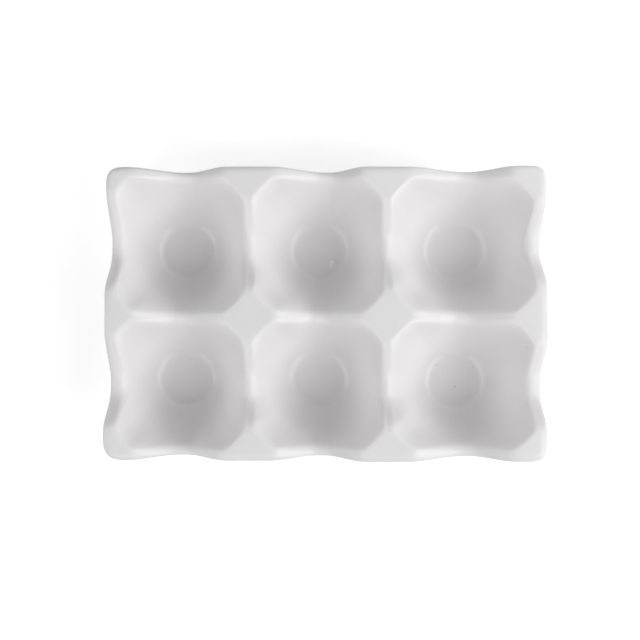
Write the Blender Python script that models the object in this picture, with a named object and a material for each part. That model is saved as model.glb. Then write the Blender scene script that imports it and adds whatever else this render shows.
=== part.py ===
"""A six-cup egg tray in white glazed ceramic, three cups long and two cups deep.

The tray copies the shape of a paper egg carton. Each cup is a tapered well with an octagonal
mouth. Flat-topped diamond posts stand where cups meet, and the rim waves down beside each cup.
The fired tray is one casting. Here it is divided as a potter would lute it together from slip:
cups, posts, runs of rim and bare foot rings, each a closed solid with a thin joint line between.

Metres throughout, +Z up, +X along the three columns, +Y to the back. The tray stands on z = 0
with the middle of its bounding box over the origin.
"""

import math

import bmesh
import bpy
from mathutils import Vector

# Driving dimensions. Each size is written here once, and everything below follows from them.

# The tray is uneven, as hand work is: its columns and rows differ a little in size.
COLUMN_WIDTHS = (0.0497, 0.0506, 0.0551)      # crest to crest, from left to right
ROW_DEPTHS = (0.0500, 0.0522)                 # crest to crest, from front to back
POST_HALF_WIDTHS = (0.0044, 0.0063, 0.0063, 0.0063)  # post middle to edge, by line of posts
TRAY_HEIGHT = 0.0380          # from the table to the flat tops of the posts
SADDLE_DROP = 0.0080          # from a post's top to the low point of the wave beside a cup
SADDLE_FLAT = 0.0025          # half the length of the level part at the bottom of the wave
POST_SHOULDER = 0.0014        # how far the wave's crest stays level past a post's corner
POST_LIP = 0.0038             # across the rounding from a cup's wall into its mouth, at a post
SADDLE_LIP = 0.0052           # the same rounding at the low point of the wave
LIP_STRETCH = 2.0             # how much deeper than wide that oval rounding is
POST_TURN = 0.61              # angle in radians through which the oval turns, at a post
SADDLE_TURN = 0.80            # the same angle at the low point of the wave
LIP_BLEND = 24.0              # how tightly the mouth's eight corners turn inside the lip
FLOOR_RADIUS = 0.0085         # flat middle of the floor inside a cup
FLOOR_DISH = 0.0008           # how far the floor rises from there to the foot of the wall
FLOOR_DISH_RUN = 0.0021       # width of that rise
FLOOR_THICKNESS = 0.0042      # floor of a cup down to its underside
WALL_BELLY = 0.055            # bulge of a cup's wall as a share of the wall's length
WALL_ROUNDNESS = 2.2          # how long a wall stays round below the mouth's corners, from 1
RIM_DEPTH = 0.0070            # thickness of the ceramic, up and down, at rim, ridge and post
RIM_MARGIN = 0.0036           # rim beyond the crest of the outer cups
RIM_TUCK = 0.0013             # how far the rim draws in beside a cup
RIM_ROUND = 0.0021            # rounding along the rim's upper edge
RIM_UNDER_ROUND = 0.0014      # rounding along the rim's lower edge
CORNER_RADIUS = 0.0042        # rounding of the four corners, seen from above
SEAT_RADIUS = 0.0137          # flat underside of a cup
FOOT_OUTER_RADIUS = 0.0125    # bare ring under each cup
FOOT_INNER_RADIUS = 0.0077
FOOT_HEIGHT = 0.0015
FOOT_BEVEL = 0.0004
JOINT_GAP = 0.0003            # line of slip between two regions

SIDE_STEPS = 8                # facets along one straight side of a mouth
CHAMFER_STEPS = 3             # facets along one cut corner of a mouth
WALL_STEPS = 4                # facets down the inside of a wall
UNDER_STEPS = 3               # facets down the outside of a wall
LIP_STEPS = 3                 # facets round the lip of a mouth
CORNER_STEPS = 4              # facets along half of a rounded tray corner
ROUND_STEPS = 3               # facets round the rim's edge
FOOT_STEPS = 24               # facets round a foot ring

ROOT_TWO = math.sqrt(2)
BELLY_PEAK = 27 / 4           # scales t (1 - t)^2, the bulge's shape, so that its peak is 1
GLAZE_LOOK = ((0.84, 0.83, 0.83), 0.42, 0.1)       # colour, roughness and coat
CLAY_LOOK = ((0.74, 0.70, 0.64), 0.85, 0.0)
HALF_GAP = JOINT_GAP / 2
SEAT_HEIGHT = FOOT_HEIGHT + JOINT_GAP
FLOOR_HEIGHT = SEAT_HEIGHT + FLOOR_THICKNESS
COLUMN_NAMES = ("left", "middle", "right")
ROW_NAMES = ("front", "back")


def crest_lines(spans):
    """Where the crests between cups run, with the grid centred on zero."""
    lines = [-sum(spans) / 2]
    for span in spans:
        lines.append(lines[-1] + span)
    return lines


X_LINES = crest_lines(COLUMN_WIDTHS)
Y_LINES = crest_lines(ROW_DEPTHS)


def post_reach(post):
    """Half the diagonal of a post of this half width."""
    return ROOT_TWO * (post - HALF_GAP)


def between(first, second, share):
    return first + (second - first) * share


def wave(along, half, posts):
    """How far the crest has dropped: 1 beside the middle of a cup, 0 on the posts at both ends."""
    post = posts[1] if along > 0 else posts[0]
    far = half - ROOT_TWO * post - POST_SHOULDER
    share = (abs(along) - SADDLE_FLAT) / (far - SADDLE_FLAT)
    share = min(max(share, 0.0), 1.0)
    return 1.0 - share * share * (3.0 - 2.0 * share)


class Mouth:
    """The octagonal mouth of one cup, measured from the cup's own middle."""

    def __init__(self, width, depth, posts):
        self.width = width
        self.depth = depth
        self.posts = posts
        self.half_x = width / 2 - HALF_GAP
        self.half_y = depth / 2 - HALF_GAP

    def diagonal(self, x):
        """Sum of |x| and |y| along the cut corners on this side of the cup."""
        post = self.posts[1] if x > 0 else self.posts[0]
        return (self.width + self.depth) / 2 - ROOT_TWO * (post + HALF_GAP)

    def outline(self):
        """Points round the edge, anticlockwise, each with the height of the crest there."""
        right, left = self.diagonal(1), self.diagonal(-1)
        corners = [
            (self.half_x, self.half_x - right), (self.half_x, right - self.half_x),
            (right - self.half_y, self.half_y), (self.half_y - left, self.half_y),
            (-self.half_x, left - self.half_x), (-self.half_x, self.half_x - left),
            (self.half_y - left, -self.half_y), (right - self.half_y, -self.half_y),
        ]
        points = []
        for index, start in enumerate(corners):
            end = corners[(index + 1) % len(corners)]
            cut_corner = index % 2 == 1
            steps = CHAMFER_STEPS if cut_corner else SIDE_STEPS
            for step in range(steps):
                x = between(start[0], end[0], step / steps)
                y = between(start[1], end[1], step / steps)
                drop = 0.0
                if index % 4 == 0:
                    post = self.posts[1] if x > 0 else self.posts[0]
                    drop = wave(y, self.depth / 2, (post, post))
                elif not cut_corner:
                    drop = wave(x, self.width / 2, self.posts)
                points.append((x, y, TRAY_HEIGHT - SADDLE_DROP * drop))
        return points

    def reach(self, across, up, inset, sharp):
        """How far a ray runs from the middle to the edge, drawn in by an inset.

        The corners are square where sharp is 1 and turn smoothly where it is 0.
        """
        limits = [(abs(across) + abs(up)) / (self.diagonal(across) - inset * ROOT_TWO)]
        limits.append(abs(across) / (self.half_x - inset))
        limits.append(abs(up) / (self.half_y - inset))
        smooth = sum(limit ** LIP_BLEND for limit in limits) ** (1 / LIP_BLEND)
        return between(1 / smooth, 1 / max(limits), sharp)


def bowed(low, high, steps):
    """Places up a bowed wall from low to high, as (radius, height), both ends included.

    The wall bulges most a third of the way up, and it is straight again at its top.
    """
    run = high[0] - low[0]
    rise = high[1] - low[1]
    places = []
    for step in range(steps + 1):
        t = step / steps
        bulge = WALL_BELLY * BELLY_PEAK * t * (1 - t) ** 2
        places.append((low[0] + run * t + bulge * rise, low[1] + rise * t - bulge * run))
    return places


def cup_wall(low, high, corner):
    """The inside wall. A corner's own reach grows late, so that the wall is round low down."""
    places = []
    for step, (radius, height) in enumerate(bowed(low, high, WALL_STEPS)):
        t = step / WALL_STEPS
        places.append((radius + corner * (t ** WALL_ROUNDNESS - t), height))
    return places


def cup_cut(mouth, point):
    """One cut through a cup from its floor, over the lip and back under, as (radius, height)."""
    x, y, height = point
    far = math.hypot(x, y)
    low_down = ((TRAY_HEIGHT - height) / SADDLE_DROP) ** 2
    width = between(POST_LIP, SADDLE_LIP, low_down)
    whole_turn = between(POST_TURN, SADDLE_TURN, low_down)
    lip = []
    for step in range(LIP_STEPS + 1):
        turn = whole_turn * (1 - step / LIP_STEPS)
        inset = width * math.sin(turn)
        drop = width * LIP_STRETCH * (1 - math.cos(turn))
        lip.append((mouth.reach(x / far, y / far, inset, step / LIP_STEPS), height - drop))
    wall_foot = (FLOOR_RADIUS + FLOOR_DISH_RUN, FLOOR_HEIGHT + FLOOR_DISH)
    corner = lip[0][0] - min(mouth.half_x, mouth.half_y) + width * math.sin(whole_turn)
    inside = [(FLOOR_RADIUS, FLOOR_HEIGHT)] + cup_wall(wall_foot, lip[0], corner) + lip[1:]
    outside = bowed((SEAT_RADIUS, SEAT_HEIGHT), (far, height - RIM_DEPTH), UNDER_STEPS)
    return inside + outside[::-1]


def lofted(name, loops, wrap=False):
    """A mesh through closed loops of equal length. Its two ends are capped unless they meet."""
    shape = bmesh.new()
    rows = [[shape.verts.new(place) for place in loop] for loop in loops]
    pairs = list(zip(rows, rows[1:]))
    if wrap:
        pairs.append((rows[-1], rows[0]))
    else:
        shape.faces.new(rows[0])
        shape.faces.new(rows[-1])
    for first, second in pairs:
        for index in range(len(first)):
            after = (index + 1) % len(first)
            shape.faces.new((first[index], first[after], second[after], second[index]))
    bmesh.ops.recalc_face_normals(shape, faces=shape.faces)
    mesh = bpy.data.meshes.new(name)
    shape.to_mesh(mesh)
    shape.free()
    return mesh


def cup_mesh(name, column, row):
    posts = (POST_HALF_WIDTHS[column], POST_HALF_WIDTHS[column + 1])
    mouth = Mouth(COLUMN_WIDTHS[column], ROW_DEPTHS[row], posts)
    outline = mouth.outline()
    cuts = [cup_cut(mouth, point) for point in outline]
    rings = []
    for level in range(len(cuts[0])):
        ring = []
        for point, cut in zip(outline, cuts):
            share = cut[level][0] / math.hypot(point[0], point[1])
            ring.append((point[0] * share, point[1] * share, cut[level][1]))
        rings.append(ring)
    return lofted(name, rings)


def post_mesh(name, post):
    reach = post_reach(post)
    rings = []
    for height in (TRAY_HEIGHT - RIM_DEPTH, TRAY_HEIGHT):
        rings.append([
            (reach, 0, height), (0, reach, height),
            (-reach, 0, height), (0, -reach, height),
        ])
    return lofted(name, rings)


def foot_mesh():
    """A flat ring with eased edges, turned about the cup's axis."""
    cut = [
        (FOOT_INNER_RADIUS, FOOT_BEVEL), (FOOT_INNER_RADIUS + FOOT_BEVEL, 0),
        (FOOT_OUTER_RADIUS - FOOT_BEVEL, 0), (FOOT_OUTER_RADIUS, FOOT_BEVEL),
        (FOOT_OUTER_RADIUS, FOOT_HEIGHT), (FOOT_INNER_RADIUS, FOOT_HEIGHT),
    ]
    loops = []
    for step in range(FOOT_STEPS):
        angle = math.tau * step / FOOT_STEPS
        loops.append([(r * math.cos(angle), r * math.sin(angle), z) for r, z in cut])
    return lofted("foot", loops, wrap=True)


def rim_corner(half, across, post):
    """Cuts from the last mouth to the mitre, at the end of a run where along is positive."""
    reach = post_reach(post)
    start = half - reach - HALF_GAP
    line = across + HALF_GAP
    outer = across + RIM_MARGIN
    centre = (half + RIM_MARGIN - CORNER_RADIUS, outer - CORNER_RADIUS)
    straight = centre[0] - start
    arc = CORNER_RADIUS * math.pi / 4
    middle = (half - reach / 2, across - reach / 2)
    cuts = []
    for step in range(1, CORNER_STEPS + 1):
        share = step / CORNER_STEPS
        inner = Vector((between(start, middle[0], share), between(line, middle[1], share)))
        walked = share * (straight + arc)
        edge = Vector((start + walked, outer))
        if walked > straight:
            angle = math.pi / 2 - (walked - straight) / CORNER_RADIUS
            edge = Vector(centre) + CORNER_RADIUS * Vector((math.cos(angle), math.sin(angle)))
        cuts.append((inner, edge))
    # The last cut stops half a joint short of the mitre.
    inner, edge = cuts[-1]
    mitre = (edge - inner).normalized()
    back = Vector((-mitre.y, mitre.x)) * HALF_GAP
    cuts[-1] = (inner + back, edge + back)
    return [(inner, edge, TRAY_HEIGHT) for inner, edge in cuts]


def rim_cuts(spans, across, posts):
    """Cuts along one run of rim, as (inner edge, outer edge, height of the crest).

    Places are (along, out): along the run from its middle, and outward from the tray's middle.
    The run passes one cup for each span, with a post of its own size at each end of each span.
    """
    lines = crest_lines(spans)
    line = across + HALF_GAP
    outer = across + RIM_MARGIN
    cuts = []
    for inner, edge, height in reversed(rim_corner(lines[-1], across, posts[0])):
        cuts.append((Vector((-inner.x, inner.y)), Vector((-edge.x, edge.y)), height))
    for index, span in enumerate(spans):
        if index:
            apex = Vector((lines[index], across - post_reach(posts[index])))
            cuts.append((apex, Vector((apex.x, outer)), TRAY_HEIGHT))
        middle = (lines[index] + lines[index + 1]) / 2
        ends = (posts[index], posts[index + 1])
        low = post_reach(ends[0]) + HALF_GAP - span / 2
        high = span / 2 - post_reach(ends[1]) - HALF_GAP
        for step in range(SIDE_STEPS + 1):
            along = between(low, high, step / SIDE_STEPS)
            drop = wave(along, span / 2, ends)
            inner = Vector((middle + along, line))
            edge = Vector((middle + along, outer - RIM_TUCK * drop))
            cuts.append((inner, edge, TRAY_HEIGHT - SADDLE_DROP * drop))
    return cuts + rim_corner(lines[-1], across, posts[-1])


def rim_loop(inner, outer, height):
    """One cut through the rim: level top, rounded edge, upright face and rounded underside."""
    width = (outer - inner).length
    top_run = min(RIM_ROUND, 0.9 * width)
    under_run = min(RIM_UNDER_ROUND, 0.9 * width)
    cut = [(0.0, height), (width - top_run, height)]
    for step in range(1, ROUND_STEPS + 1):
        turn = math.pi / 2 * step / ROUND_STEPS
        cut.append((width - top_run * (1 - math.sin(turn)),
                    height - RIM_ROUND * (1 - math.cos(turn))))
    for step in range(ROUND_STEPS):
        turn = math.pi / 2 * step / (ROUND_STEPS - 1)
        cut.append((width - under_run * (1 - math.cos(turn)),
                    height - RIM_DEPTH + RIM_UNDER_ROUND * (1 - math.sin(turn))))
    cut.append((0.0, height - RIM_DEPTH))
    return [(*inner.lerp(outer, out / width), z) for out, z in cut]


def rim_mesh(name, along_axis, out_axis, cuts):
    """A run of rim, turned so that its two directions point along the given axes."""
    loops = []
    for cut in cuts:
        loop = []
        for along, out, z in rim_loop(*cut):
            x = along * along_axis[0] + out * out_axis[0]
            y = along * along_axis[1] + out * out_axis[1]
            loop.append((x, y, z))
        loops.append(loop)
    return lofted(name, loops)


def ceramic(name, colour, roughness, coat):
    material = bpy.data.materials.new(name)
    material.use_nodes = True
    shader = material.node_tree.nodes["Principled BSDF"]
    shader.inputs["Base Color"].default_value = (*colour, 1.0)
    shader.inputs["Roughness"].default_value = roughness
    shader.inputs["Coat Weight"].default_value = coat
    material.diffuse_color = (*colour, 1.0)
    return material


def place(name, mesh, material, x=0.0, y=0.0):
    part = bpy.data.objects.new(name, mesh)
    part.location = (x, y, 0.0)
    if not mesh.materials:
        mesh.materials.append(material)
    bpy.context.scene.collection.objects.link(part)


def build():
    for old in list(bpy.data.objects):
        bpy.data.objects.remove(old, do_unlink=True)
    glaze = ceramic("white_glaze", *GLAZE_LOOK)
    bare = ceramic("bare_clay", *CLAY_LOOK)

    foot = foot_mesh()
    for row, row_name in enumerate(ROW_NAMES):
        y = (Y_LINES[row] + Y_LINES[row + 1]) / 2
        for column, column_name in enumerate(COLUMN_NAMES):
            x = (X_LINES[column] + X_LINES[column + 1]) / 2
            cup_name = f"cup_{row_name}_{column_name}"
            place(cup_name, cup_mesh(cup_name, column, row), glaze, x, y)
            place(f"foot_{row_name}_{column_name}", foot, bare, x, y)

    for line, name in ((1, "post_left"), (2, "post_right")):
        place(name, post_mesh(name, POST_HALF_WIDTHS[line]), glaze, X_LINES[line], Y_LINES[1])

    left_posts = (POST_HALF_WIDTHS[0],) * len(Y_LINES)
    right_posts = (POST_HALF_WIDTHS[-1],) * len(Y_LINES)
    runs = [
        ("rim_back", (-1, 0), (0, 1), COLUMN_WIDTHS[::-1], Y_LINES[-1], POST_HALF_WIDTHS[::-1]),
        ("rim_front", (1, 0), (0, -1), COLUMN_WIDTHS, Y_LINES[-1], POST_HALF_WIDTHS),
        ("rim_left", (0, -1), (-1, 0), ROW_DEPTHS[::-1], X_LINES[-1], left_posts),
        ("rim_right", (0, 1), (1, 0), ROW_DEPTHS, X_LINES[-1], right_posts),
    ]
    for name, along, out, spans, across, posts in runs:
        place(name, rim_mesh(name, along, out, rim_cuts(spans, across, posts)), glaze)


build()
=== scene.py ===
# %% [markdown]
# # A white glazed egg tray
#
# The real tray is one casting in white ceramic: six egg cups in two rows of three, shaped after a
# paper egg carton. Each cup is a tapered well with an eight-sided mouth. Flat diamond posts stand
# where cups meet, and the rim waves down beside every cup. A thick satin glaze softens every edge.
#
# The lesson goes from shape to picture: load the measured frame, write the tray's shape as a rule
# in Geometry Nodes, stand it on its bare foot rings, mix the glaze, then light and photograph it.

# %% The measured frame
import math

import bmesh
import bpy
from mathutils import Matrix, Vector


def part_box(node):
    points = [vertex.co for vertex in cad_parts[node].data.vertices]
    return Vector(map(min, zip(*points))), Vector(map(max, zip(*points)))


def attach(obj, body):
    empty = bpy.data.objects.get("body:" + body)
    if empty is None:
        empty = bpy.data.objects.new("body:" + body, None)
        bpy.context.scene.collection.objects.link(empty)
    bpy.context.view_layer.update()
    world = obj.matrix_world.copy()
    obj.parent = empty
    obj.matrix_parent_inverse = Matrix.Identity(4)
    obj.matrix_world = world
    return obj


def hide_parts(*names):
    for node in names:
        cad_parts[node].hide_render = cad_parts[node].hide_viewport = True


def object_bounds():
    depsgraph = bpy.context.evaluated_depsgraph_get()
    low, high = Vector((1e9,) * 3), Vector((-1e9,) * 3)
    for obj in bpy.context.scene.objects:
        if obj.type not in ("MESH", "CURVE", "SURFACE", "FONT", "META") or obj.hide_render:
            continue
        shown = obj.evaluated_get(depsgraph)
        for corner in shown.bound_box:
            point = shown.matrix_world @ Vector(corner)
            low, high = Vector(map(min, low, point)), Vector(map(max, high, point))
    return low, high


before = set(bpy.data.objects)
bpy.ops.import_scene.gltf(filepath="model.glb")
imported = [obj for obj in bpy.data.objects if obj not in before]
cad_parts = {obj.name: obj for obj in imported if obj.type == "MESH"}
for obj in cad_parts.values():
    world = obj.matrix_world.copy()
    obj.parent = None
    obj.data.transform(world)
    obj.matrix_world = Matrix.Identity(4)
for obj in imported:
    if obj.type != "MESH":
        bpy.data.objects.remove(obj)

cad_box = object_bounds()
print("frame:", len(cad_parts), "nodes, box", [tuple(round(v, 4) for v in c) for c in cad_box])

# %% [markdown]
# ## Where everything is
#
# The frame's cups are separate solids with a hairline joint between them. On the real tray there
# is no line to see there, so this model is one skin. The places of the cups could be typed in
# again, but then they might drift from the frame. They are read from the frame's own boxes: the
# crest between two cups runs along the middle of the joint between their solids.

# %% Crest lines and levels, read from the frame
COLUMNS = ("left", "middle", "right")
ROWS = ("front", "back")
ROOT_TWO = math.sqrt(2)

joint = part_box("cup_front_middle")[0].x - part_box("cup_front_left")[1].x
x_lines = [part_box(f"cup_front_{column}")[0].x - joint / 2 for column in COLUMNS]
x_lines.append(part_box("cup_front_right")[1].x + joint / 2)
y_lines = [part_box(f"cup_{row}_left")[0].y - joint / 2 for row in ROWS]
y_lines.append(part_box("cup_back_left")[1].y + joint / 2)

tray_height = cad_box[1][2]
rim_margin = cad_box[1][0] - x_lines[-1]
seat_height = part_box("cup_front_left")[0].z
inner_post = (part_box("post_left")[1].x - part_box("post_left")[0].x) / 2 / ROOT_TWO + joint / 2
foot_low, foot_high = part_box("foot_front_left")
print("crests across:", [round(x, 4) for x in x_lines], "and along:", [round(y, 4) for y in y_lines])
print(f"posts {inner_post:.4f} from middle to edge, rim {rim_margin:.4f} past the crest")

# %% [markdown]
# ## Formulas instead of hundreds of nodes
#
# The tray's shape is a rule: a wave along the crest, a straight-sided mouth, a bowed wall and a
# round floor. Geometry Nodes can hold such a rule, but drawing it by hand takes hundreds of Math
# nodes. This small class lets Python's own signs place those nodes, so that the rule below reads
# like the arithmetic it is.

# %% A number that changes over a mesh
class Formula:
    """A socket of a node tree that can be added, multiplied and compared like a number."""

    def __init__(self, tree, socket):
        self.tree = tree
        self.socket = socket

    def maths(self, operation, *others, clamp=False):
        node = self.tree.nodes.new("ShaderNodeMath")
        node.operation = operation
        node.use_clamp = clamp
        for place, value in zip(node.inputs, (self, *others)):
            if isinstance(value, Formula):
                self.tree.links.new(value.socket, place)
            else:
                place.default_value = value
        return Formula(self.tree, node.outputs[0])

    def __add__(self, other): return self.maths("ADD", other)
    def __sub__(self, other): return self.maths("SUBTRACT", other)
    def __mul__(self, other): return self.maths("MULTIPLY", other)
    def __truediv__(self, other): return self.maths("DIVIDE", other)
    def __pow__(self, other): return self.maths("POWER", other)
    def __gt__(self, other): return self.maths("GREATER_THAN", other)
    def __lt__(self, other): return self.maths("LESS_THAN", other)
    def __rsub__(self, other): return self.maths("MULTIPLY_ADD", -1.0, other)
    __radd__ = __add__
    __rmul__ = __mul__


def larger(first, second): return first.maths("MAXIMUM", second)
def smaller(first, second): return first.maths("MINIMUM", second)
def root(value): return value.maths("SQRT")
def sine(value): return value.maths("SINE")
def cosine(value): return value.maths("COSINE")
def mixed(first, second, share): return first + (second - first) * share
def eased(share): return share * share * (3.0 - 2.0 * share)


def progress(value, start, end):
    """0 up to start, 1 from end on, and an even climb between them."""
    return (value - start).maths("DIVIDE", end - start, clamp=True)


print("formulas ready")

# %% [markdown]
# ## A tree with named sizes
#
# Every tree here gets its sizes as named inputs, so that a reader can open it in Blender and drag
# them. The helper makes an empty tree with those inputs and hands back each of them as a Formula.

# %% An empty tree with its named inputs
def new_tree(name, sizes, takes_points=False):
    tree = bpy.data.node_groups.new(name, "GeometryNodeTree")
    tree.interface.new_socket("Geometry", in_out="OUTPUT", socket_type="NodeSocketGeometry")
    if takes_points:
        tree.interface.new_socket("Geometry", in_out="INPUT", socket_type="NodeSocketGeometry")
    for label, value in sizes.items():
        kind = "NodeSocketMaterial" if value is None else "NodeSocketFloat"
        socket = tree.interface.new_socket(label, in_out="INPUT", socket_type=kind)
        if value is not None:
            socket.default_value = value
    entry = tree.nodes.new("NodeGroupInput")
    named = {label: Formula(tree, entry.outputs[label]) for label in sizes}
    return tree, entry, named


def add_node(tree, kind, settings=(), **links):
    """A node with its settings, and with links or plain values for its inputs by name."""
    node = tree.nodes.new(kind)
    for label, value in dict(settings).items():
        setattr(node, label, value)
    for label, value in links.items():
        wanted = label.replace("_", " ")
        socket = next(s for s in node.inputs if s.name == wanted and s.enabled)
        if isinstance(value, Formula):
            value = value.socket
        if isinstance(value, bpy.types.NodeSocket):
            tree.links.new(value, socket)
        else:
            socket.default_value = value
    return node


print("tree helpers ready")

# %% [markdown]
# ## One cup, from floor to rim
#
# A cup could be carved from a block, or pushed out of a grid as a height map. A carved block loses
# its soft lips, and a height map stretches on steep walls. A potter's way is better: think of one
# cut through the cup, from the middle of its floor, up the wall, over the lip, out across the post
# or rim, and back along the underside. Sweep that cut round the mouth and the whole cup is made.
#
# The tree starts from a flat sheet of squares. Its columns walk round the mouth, and its rows walk
# along the cut. Each stretch of either walk has its own number of squares.

# %% The named sizes of a cup, and the sheet of squares
MOUTH_WALK = (14, 12, 14)     # squares in a quarter turn: half a side, a cut corner, half a side
CUT_WALK = (
    ("floor", 4), ("ring", 13), ("wall", 18), ("lip", 8), ("post", 4), ("edge", 8), ("face", 3),
    ("under", 4), ("back", 2), ("post_under", 3), ("outside", 11), ("seat", 3),
)
cup_sizes = {
    "Width": 0.05, "Depth": 0.05, "Height": tray_height,
    "Left Post": inner_post, "Right Post": inner_post,
    "Left Rim Front": 0.0, "Left Rim Back": 0.0, "Right Rim Front": 0.0, "Right Rim Back": 0.0,
    "Front Rim Left": 0.0, "Front Rim Right": 0.0, "Back Rim Left": 0.0, "Back Rim Right": 0.0,
    "Rim Thickness": 0.0070, "Rim Round": 0.0021, "Rim Under Round": 0.0014, "Rim Tuck": 0.0013,
    "Corner Radius": 0.0042, "Outer Roll": 0.0,
    "Wave Drop": 0.0080, "Wave Ease": 0.4, "Wave Flat": 0.0026,
    "Left Front Flat": 0.0048, "Right Front Flat": 0.0048, "Post Shoulder": 0.0005,
    "Left Front Shoulder": 0.0005, "Right Front Shoulder": 0.0005,
    "Front Wave Shift": 0.0, "Back Wave Shift": 0.0,
    "Left Bow": 0.0, "Right Bow": 0.0, "Front Bow": 0.0, "Back Bow": 0.0,
    "Front Left Lip": 0.0042, "Front Right Lip": 0.0030, "Back Lip": 0.0040,
    "Left Saddle Lip": 0.0054, "Right Saddle Lip": 0.0048, "End Saddle Lip": 0.0052,
    "Lip Stretch": 2.0, "Corner Power": 26.0, "Front Left Power": 12.0,
    "Left Roundness": 2.7, "Right Roundness": 2.7, "Front Left Roundness": 5.0, "Wall Belly": 0.055,
    "Floor Radius": 0.0106, "Floor Height": seat_height + 0.0042, "Floor Dish": 0.0009,
    "Floor Power": 17.0, "Floor Shift X": 0.0, "Floor Shift Y": 0.0, "Ring Height": 0.00020,
    "Seat Radius": 0.0137, "Seat Height": seat_height,
}
cup_tree, _, size = new_tree("Egg cup", cup_sizes)

columns = 4 * sum(MOUTH_WALK)
rows = sum(count for _, count in CUT_WALK)
sheet = add_node(cup_tree, "GeometryNodeMeshGrid", Size_X=float(columns), Size_Y=float(rows),
                 Vertices_X=columns + 1, Vertices_Y=rows + 1)
place = add_node(cup_tree, "ShaderNodeSeparateXYZ",
                 Vector=cup_tree.nodes.new("GeometryNodeInputPosition").outputs[0])
column = Formula(cup_tree, place.outputs["X"]) + columns / 2
row = Formula(cup_tree, place.outputs["Y"]) + rows / 2
print("sheet of", columns, "by", rows, "squares")

# %% [markdown]
# ## Walking round the mouth
#
# The mouth is a rectangle with its corners cut by the posts. A quarter of it is enough: the walk
# goes there and back, and the signs of x and y follow from the quarter. Along the way the tree
# knows three outlines: the mouth itself, the rectangle out to the middles of the posts, and the
# tray's outer edge with its rounded corners. The rim's reach past the crest is set at both ends of
# a side and changes evenly between them, because no side of the tray is quite straight.
# Neighbouring cups share their points exactly, so that their sheets weld into one skin.

# %% The three outlines
quarter = column / float(sum(MOUTH_WALK))
along = quarter.maths("PINGPONG", 1.0) * float(sum(MOUTH_WALK))
side_end = MOUTH_WALK[0]
cut_end = side_end + MOUTH_WALK[1]
first_side = progress(along, 0.0, side_end)
cut = progress(along, side_end, cut_end)
last_side = progress(along, cut_end, cut_end + MOUTH_WALK[2])

to_right = (quarter - 2.0).maths("ABSOLUTE") > 1.0
to_back = quarter < 2.0
post = mixed(size["Left Post"], size["Right Post"], to_right) * ROOT_TWO
half_x = size["Width"] * 0.5
half_y = size["Depth"] * 0.5
side_x = (half_x - post) * (1.0 - last_side)
side_y = (half_y - post) * first_side
mouth_x = side_x + post * (1.0 - cut)
mouth_y = side_y + post * cut
turn_x = 1.0 - progress(cut, 0.5, 1.0)
turn_y = progress(cut, 0.0, 0.5)


def end_to_end(first, last, share): return mixed(size[first], size[last], share)


sign_x = to_right * 2.0 - 1.0
sign_y = to_back * 2.0 - 1.0
share_x = sign_x * (1.0 - last_side) * 0.5 + 0.5
share_y = sign_y * first_side * 0.5 + 0.5
rim_x = mixed(end_to_end("Left Rim Front", "Left Rim Back", share_y),
              end_to_end("Right Rim Front", "Right Rim Back", share_y), to_right)
rim_y = mixed(end_to_end("Front Rim Left", "Front Rim Right", share_x),
              end_to_end("Back Rim Left", "Back Rim Right", share_x), to_back)
print("outlines:", len(cup_tree.nodes), "nodes so far")

# %% [markdown]
# ## The wave of the crest
#
# Beside each cup the crest dips, and it stands level on the posts. A sine could make such a wave,
# but it would be too soft: on the real tray the crest climbs from the dip to the post on a ramp that
# is nearly straight and ends in a plain shoulder. The low stretch is longer on the front half of a
# side, so the ramp is steeper there. At the front and back rims the whole dip lies a little to the
# right. The outer rims also bow inward at each dip, which makes them broader there.

# %% The crest, and the outer edge that follows it
def dip(distance, flat, end):
    climb = progress(distance, flat, end)
    return 1.0 - mixed(climb, eased(climb), size["Wave Ease"])


front_flat = mixed(size["Left Front Flat"], size["Right Front Flat"], to_right)
front_shoulder = mixed(size["Left Front Shoulder"], size["Right Front Shoulder"], to_right)
shoulder = mixed(front_shoulder, size["Post Shoulder"], to_back)
dip_x = dip(mouth_y, mixed(front_flat, size["Wave Flat"], to_back), half_y - post - shoulder)
wave_shift = mixed(size["Front Wave Shift"], size["Back Wave Shift"], to_back) * sign_x
wave_end = half_x - post - size["Post Shoulder"] - wave_shift
dip_y = dip((mouth_x - wave_shift).maths("ABSOLUTE"), size["Wave Flat"], wave_end)
crest = size["Height"] - size["Wave Drop"] * (dip_x + dip_y)

bow_x = mixed(size["Left Bow"], size["Right Bow"], to_right) * dip_x
bow_y = mixed(size["Front Bow"], size["Back Bow"], to_back) * dip_y
mouth_x = mouth_x - bow_x
mouth_y = mouth_y - bow_y
cell_x = side_x + post * turn_x - bow_x
cell_y = side_y + post * turn_y - bow_y

corner = size["Corner Radius"] * (rim_x > 0.0) * (rim_y > 0.0)
edge_x = side_x + (post + rim_x) * turn_x - size["Rim Tuck"] * dip_x
edge_y = side_y + (post + rim_y) * turn_y - size["Rim Tuck"] * dip_y
inside_x = half_x + rim_x - corner
inside_y = half_y + rim_y - corner
past_x = larger(edge_x - inside_x, 0.0)
past_y = larger(edge_y - inside_y, 0.0)
pull = smaller(corner / larger(root(past_x * past_x + past_y * past_y), 1e-9), 1.0)
edge_x = smaller(edge_x, inside_x) + past_x * pull
edge_y = smaller(edge_y, inside_y) + past_y * pull
print("outlines and crest:", len(cup_tree.nodes), "nodes")

# %% [markdown]
# ## The cut through the cup
#
# Each stretch of the cut adds its own share to the distance from the cup's middle and to the
# height, and adds nothing once it is passed. The floor is a shallow dish. A fine raised ring edges
# it at the sides and the back and fades toward the front. The wall leaves the ring round and bowed,
# and takes on the eight sides of the mouth as it climbs. The lip is part of an oval, taller than it
# is wide, which turns from level on the crest until it lies along the wall. It is broader in some
# places than in others, as glaze and a wet sponge leave it.
#
# Inside the lip the eight corners of the mouth turn smoothly. A sum of high powers does that: it is
# close to the largest of the three limits, but rounds off where two of them are equal.

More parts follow.
